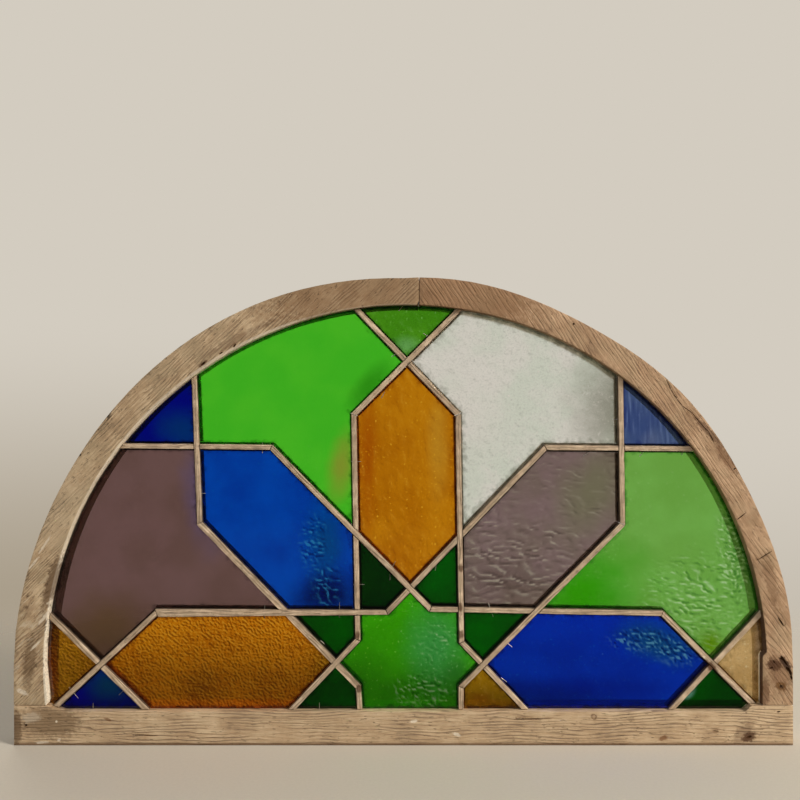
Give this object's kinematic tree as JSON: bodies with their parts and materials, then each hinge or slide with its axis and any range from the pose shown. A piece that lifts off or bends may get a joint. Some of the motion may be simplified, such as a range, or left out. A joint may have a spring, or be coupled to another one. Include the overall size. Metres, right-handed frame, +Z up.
{
  "type": "stained glass window",
  "caption": "Half-round stained glass fanlight: a sawn wooden arch on a straight rail, with wooden glazing bars in a star and hexagon pattern holding coloured panes.",
  "frame": {"origin": "middle of the bottom rail's underside, halfway through the frame's depth", "axes": "+X to the right along the rail, seen from the front; +Z up; the front, with the rebates and the glazing bars' stems, faces -Y"},
  "size_m": [0.9, 0.034, 0.5405],
  "materials": {
    "wood_frame": "weathered sawn softwood, unpainted, grey-brown",
    "wood_bars": "weathered sawn softwood strips, pale brown",
    "steel_sprigs": "dull cut steel glazing sprigs",
    "glass_leaf_green": "smooth leaf green glass",
    "glass_light_green": "rippled light green glass",
    "glass_bottle_green": "smooth dark bottle green glass",
    "glass_blue": "smooth cobalt blue glass",
    "glass_navy": "smooth dark blue glass",
    "glass_slate_blue": "drawn slate blue glass with fine streaks",
    "glass_amber": "seedy and hammered amber glass",
    "glass_purple": "smooth purple-brown glass",
    "glass_mauve": "rippled mauve glass",
    "glass_clear": "frosted pale grey-green glass with fine texture",
    "glass_straw": "textured straw coloured glass"
  },
  "bodies": {
    "root": {"arch_left": "wood_frame", "arch_right": "wood_frame", "bottom_rail": "wood_frame", "bar_right_top_slant": "wood_bars", "bar_right_star_upright": "wood_bars", "bar_right_foot_slant": "wood_bars", "bar_left_top_slant": "wood_bars", "bar_left_star_upright": "wood_bars", "bar_left_foot_slant": "wood_bars", "bar_right_shoulder_upright": "wood_bars", "bar_right_long_slant": "wood_bars", "bar_right_foot_upright": "wood_bars", "bar_left_shoulder_upright": "wood_bars", "bar_left_long_slant": "wood_bars", "bar_left_foot_upright": "wood_bars", "bar_right_shoulder_level": "wood_bars", "bar_right_star_slant": "wood_bars", "bar_left_low_level": "wood_bars", "bar_left_corner_rising": "wood_bars", "bar_left_shoulder_level": "wood_bars", "bar_left_star_slant": "wood_bars", "bar_right_low_level": "wood_bars", "bar_right_corner_falling": "wood_bars", "bar_right_corner_rising": "wood_bars", "bar_left_corner_falling": "wood_bars", "pane_top_triangle": "glass_leaf_green", "pane_upper_left_field": "glass_leaf_green", "pane_upper_right_field": "glass_clear", "pane_left_shoulder": "glass_navy", "pane_right_shoulder": "glass_slate_blue", "pane_top_hexagon": "glass_amber", "pane_upper_left_hexagon": "glass_blue", "pane_upper_right_hexagon": "glass_mauve", "pane_lower_left_field": "glass_purple", "pane_lower_right_field": "glass_light_green", "pane_left_upper_kite": "glass_bottle_green", "pane_right_upper_kite": "glass_bottle_green", "pane_left_side_kite": "glass_bottle_green", "pane_right_side_kite": "glass_bottle_green", "pane_left_lower_kite": "glass_bottle_green", "pane_right_lower_kite": "glass_amber", "pane_half_star": "glass_leaf_green", "pane_left_hexagon": "glass_amber", "pane_right_hexagon": "glass_blue", "pane_left_corner": "glass_amber", "pane_right_corner": "glass_straw", "pane_left_low_triangle": "glass_navy", "pane_right_low_triangle": "glass_bottle_green"}
  },
  "joints": []
}
